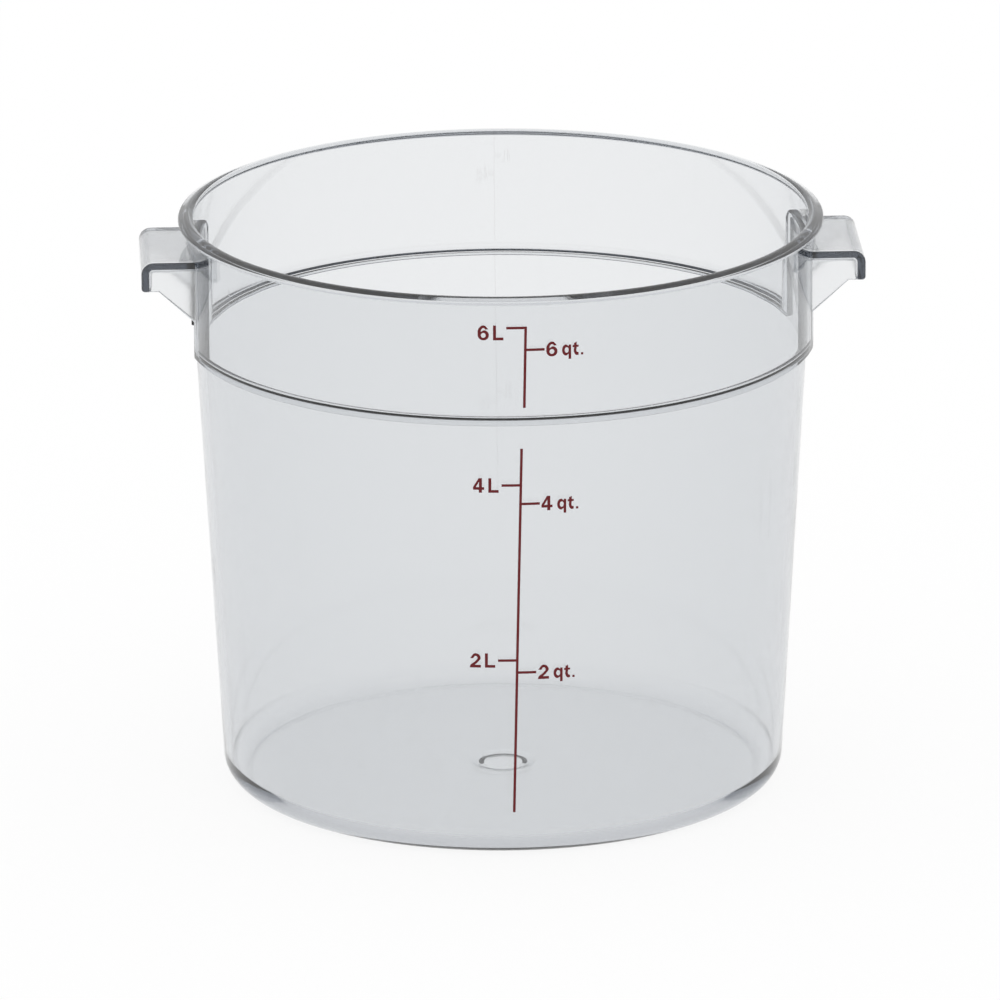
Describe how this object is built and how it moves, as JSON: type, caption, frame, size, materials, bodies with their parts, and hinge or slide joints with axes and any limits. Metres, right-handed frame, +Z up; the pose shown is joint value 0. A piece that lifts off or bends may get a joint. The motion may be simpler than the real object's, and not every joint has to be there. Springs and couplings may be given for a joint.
{
  "type": "food storage container",
  "caption": "Round clear open-topped food storage container with a stepped shoulder, hollow side handles and a printed litre and quart scale.",
  "frame": {"origin": "centre of the flat underside, on the surface that the container stands on", "axes": "+Z up along the vessel's axis, X through the two handles, -Y the front, where the printed scale is"},
  "size_m": [0.249, 0.2226, 0.2022],
  "materials": {
    "clear_plastic": "clear moulded polycarbonate, glossy, slightly smoky at the thick edges",
    "scale_ink": "dark red screen-printed ink"
  },
  "bodies": {
    "root": {"container_body": "clear_plastic", "ink_scale_line_lower": "scale_ink", "ink_scale_line_upper": "scale_ink", "ink_6_litre_figure": "scale_ink", "ink_6_litre_letter_l": "scale_ink", "ink_6_quart_figure": "scale_ink", "ink_6_quart_letter_q": "scale_ink", "ink_6_quart_letter_t": "scale_ink", "ink_6_quart_full_stop": "scale_ink", "ink_4_litre_figure": "scale_ink", "ink_4_litre_letter_l": "scale_ink", "ink_4_quart_figure": "scale_ink", "ink_4_quart_letter_q": "scale_ink", "ink_4_quart_letter_t": "scale_ink", "ink_4_quart_full_stop": "scale_ink", "ink_2_litre_figure": "scale_ink", "ink_2_litre_letter_l": "scale_ink", "ink_2_quart_figure": "scale_ink", "ink_2_quart_letter_q": "scale_ink", "ink_2_quart_letter_t": "scale_ink", "ink_2_quart_full_stop": "scale_ink"}
  },
  "joints": []
}
